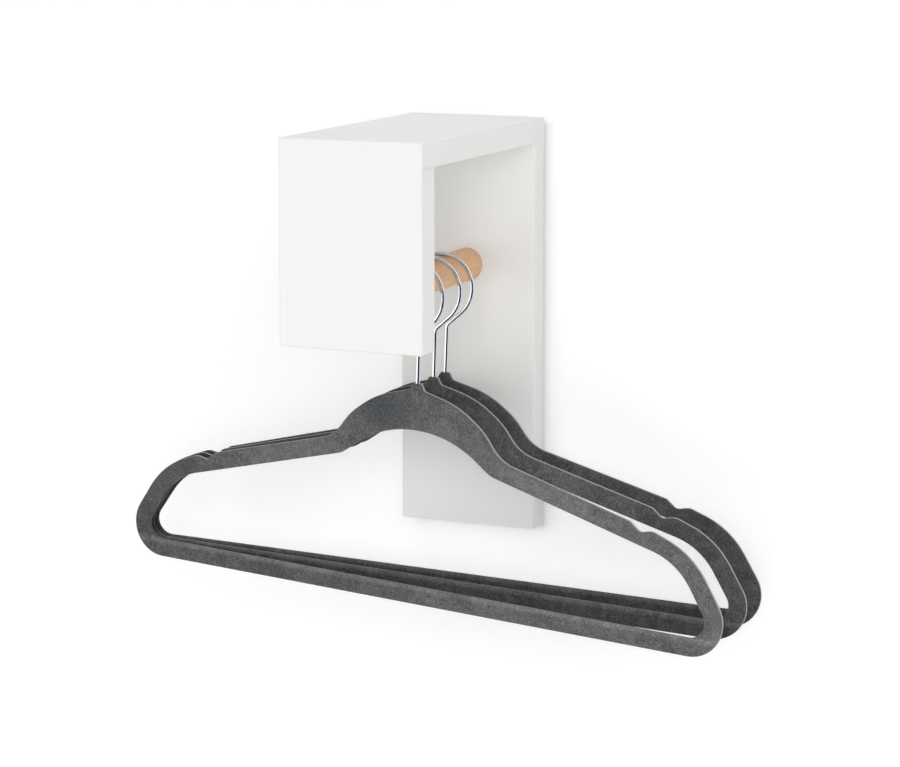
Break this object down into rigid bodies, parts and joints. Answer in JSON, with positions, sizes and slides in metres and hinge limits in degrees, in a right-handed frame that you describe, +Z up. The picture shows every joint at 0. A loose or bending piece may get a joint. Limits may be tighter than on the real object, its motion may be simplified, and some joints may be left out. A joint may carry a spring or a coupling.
{
  "type": "wall coat rack",
  "caption": "Narrow wall-mounted coat rack: back board, short shelf and front board carrying a round wooden rod, with velvet-covered clothes hangers on wire hooks hanging from it.",
  "frame": {"origin": "centre of the back board's rear face, on the wall", "axes": "+Y into the wall, +Z up, +X to the right of someone facing the wall"},
  "size_m": [0.4457, 0.203, 0.3222],
  "materials": {
    "white_lacquer": "satin",
    "beech": "satin",
    "dowel_beech": "matte",
    "screw_steel": "satin",
    "hook_chrome": "polished",
    "velvet_grey": "matte"
  },
  "bodies": {
    "rack": {"back_board": "white_lacquer", "top_board": "white_lacquer", "front_board": "white_lacquer", "rod": "beech", "rod_screw": "screw_steel", "shelf_screw_left": "screw_steel", "shelf_screw_right": "screw_steel", "front_dowel_left": "dowel_beech", "front_dowel_right": "dowel_beech"},
    "hook_1": {"hanger_hook_1": "hook_chrome"},
    "frame_1": {"hanger_body_1": "velvet_grey"},
    "hook_2": {"hanger_hook_2": "hook_chrome"},
    "frame_2": {"hanger_body_2": "velvet_grey"},
    "hook_3": {"hanger_hook_3": "hook_chrome"},
    "frame_3": {"hanger_body_3": "velvet_grey"}
  },
  "joints": [
    {"name": "swing_1", "type": "hinge", "parent": "rack", "child": "hook_1", "pos_m": [0, -0.107, 0.0305], "axis": [0, 1, 0], "range_deg": [-20, 20]},
    {"name": "swivel_1", "type": "hinge", "parent": "hook_1", "child": "frame_1", "pos_m": [0.00307, -0.10734, -0.02675], "axis": [0.0367, -0.0041, 0.9993], "range_deg": [-10, 12]},
    {"name": "swing_2", "type": "hinge", "parent": "rack", "child": "hook_2", "pos_m": [0, -0.081, 0.0305], "axis": [0, 1, 0], "range_deg": [-20, 20]},
    {"name": "swivel_2", "type": "hinge", "parent": "hook_2", "child": "frame_2", "pos_m": [0.00309, -0.08106, -0.02675], "axis": [0.0369, -0.0007, 0.9993], "range_deg": [-10, 12]},
    {"name": "swing_3", "type": "hinge", "parent": "rack", "child": "hook_3", "pos_m": [0, -0.062, 0.0305], "axis": [0, 1, 0], "range_deg": [-20, 20]},
    {"name": "swivel_3", "type": "hinge", "parent": "hook_3", "child": "frame_3", "pos_m": [0.00309, -0.06188, -0.02675], "axis": [0.0369, 0.0015, 0.9993], "range_deg": [-10, 12]}
  ],
  "couplings": [
    {"joint": "swing_2", "follows": "swing_1", "ratio": 1},
    {"joint": "swing_3", "follows": "swing_1", "ratio": 1},
    {"joint": "swivel_2", "follows": "swivel_1", "ratio": 1},
    {"joint": "swivel_3", "follows": "swivel_1", "ratio": 1}
  ]
}
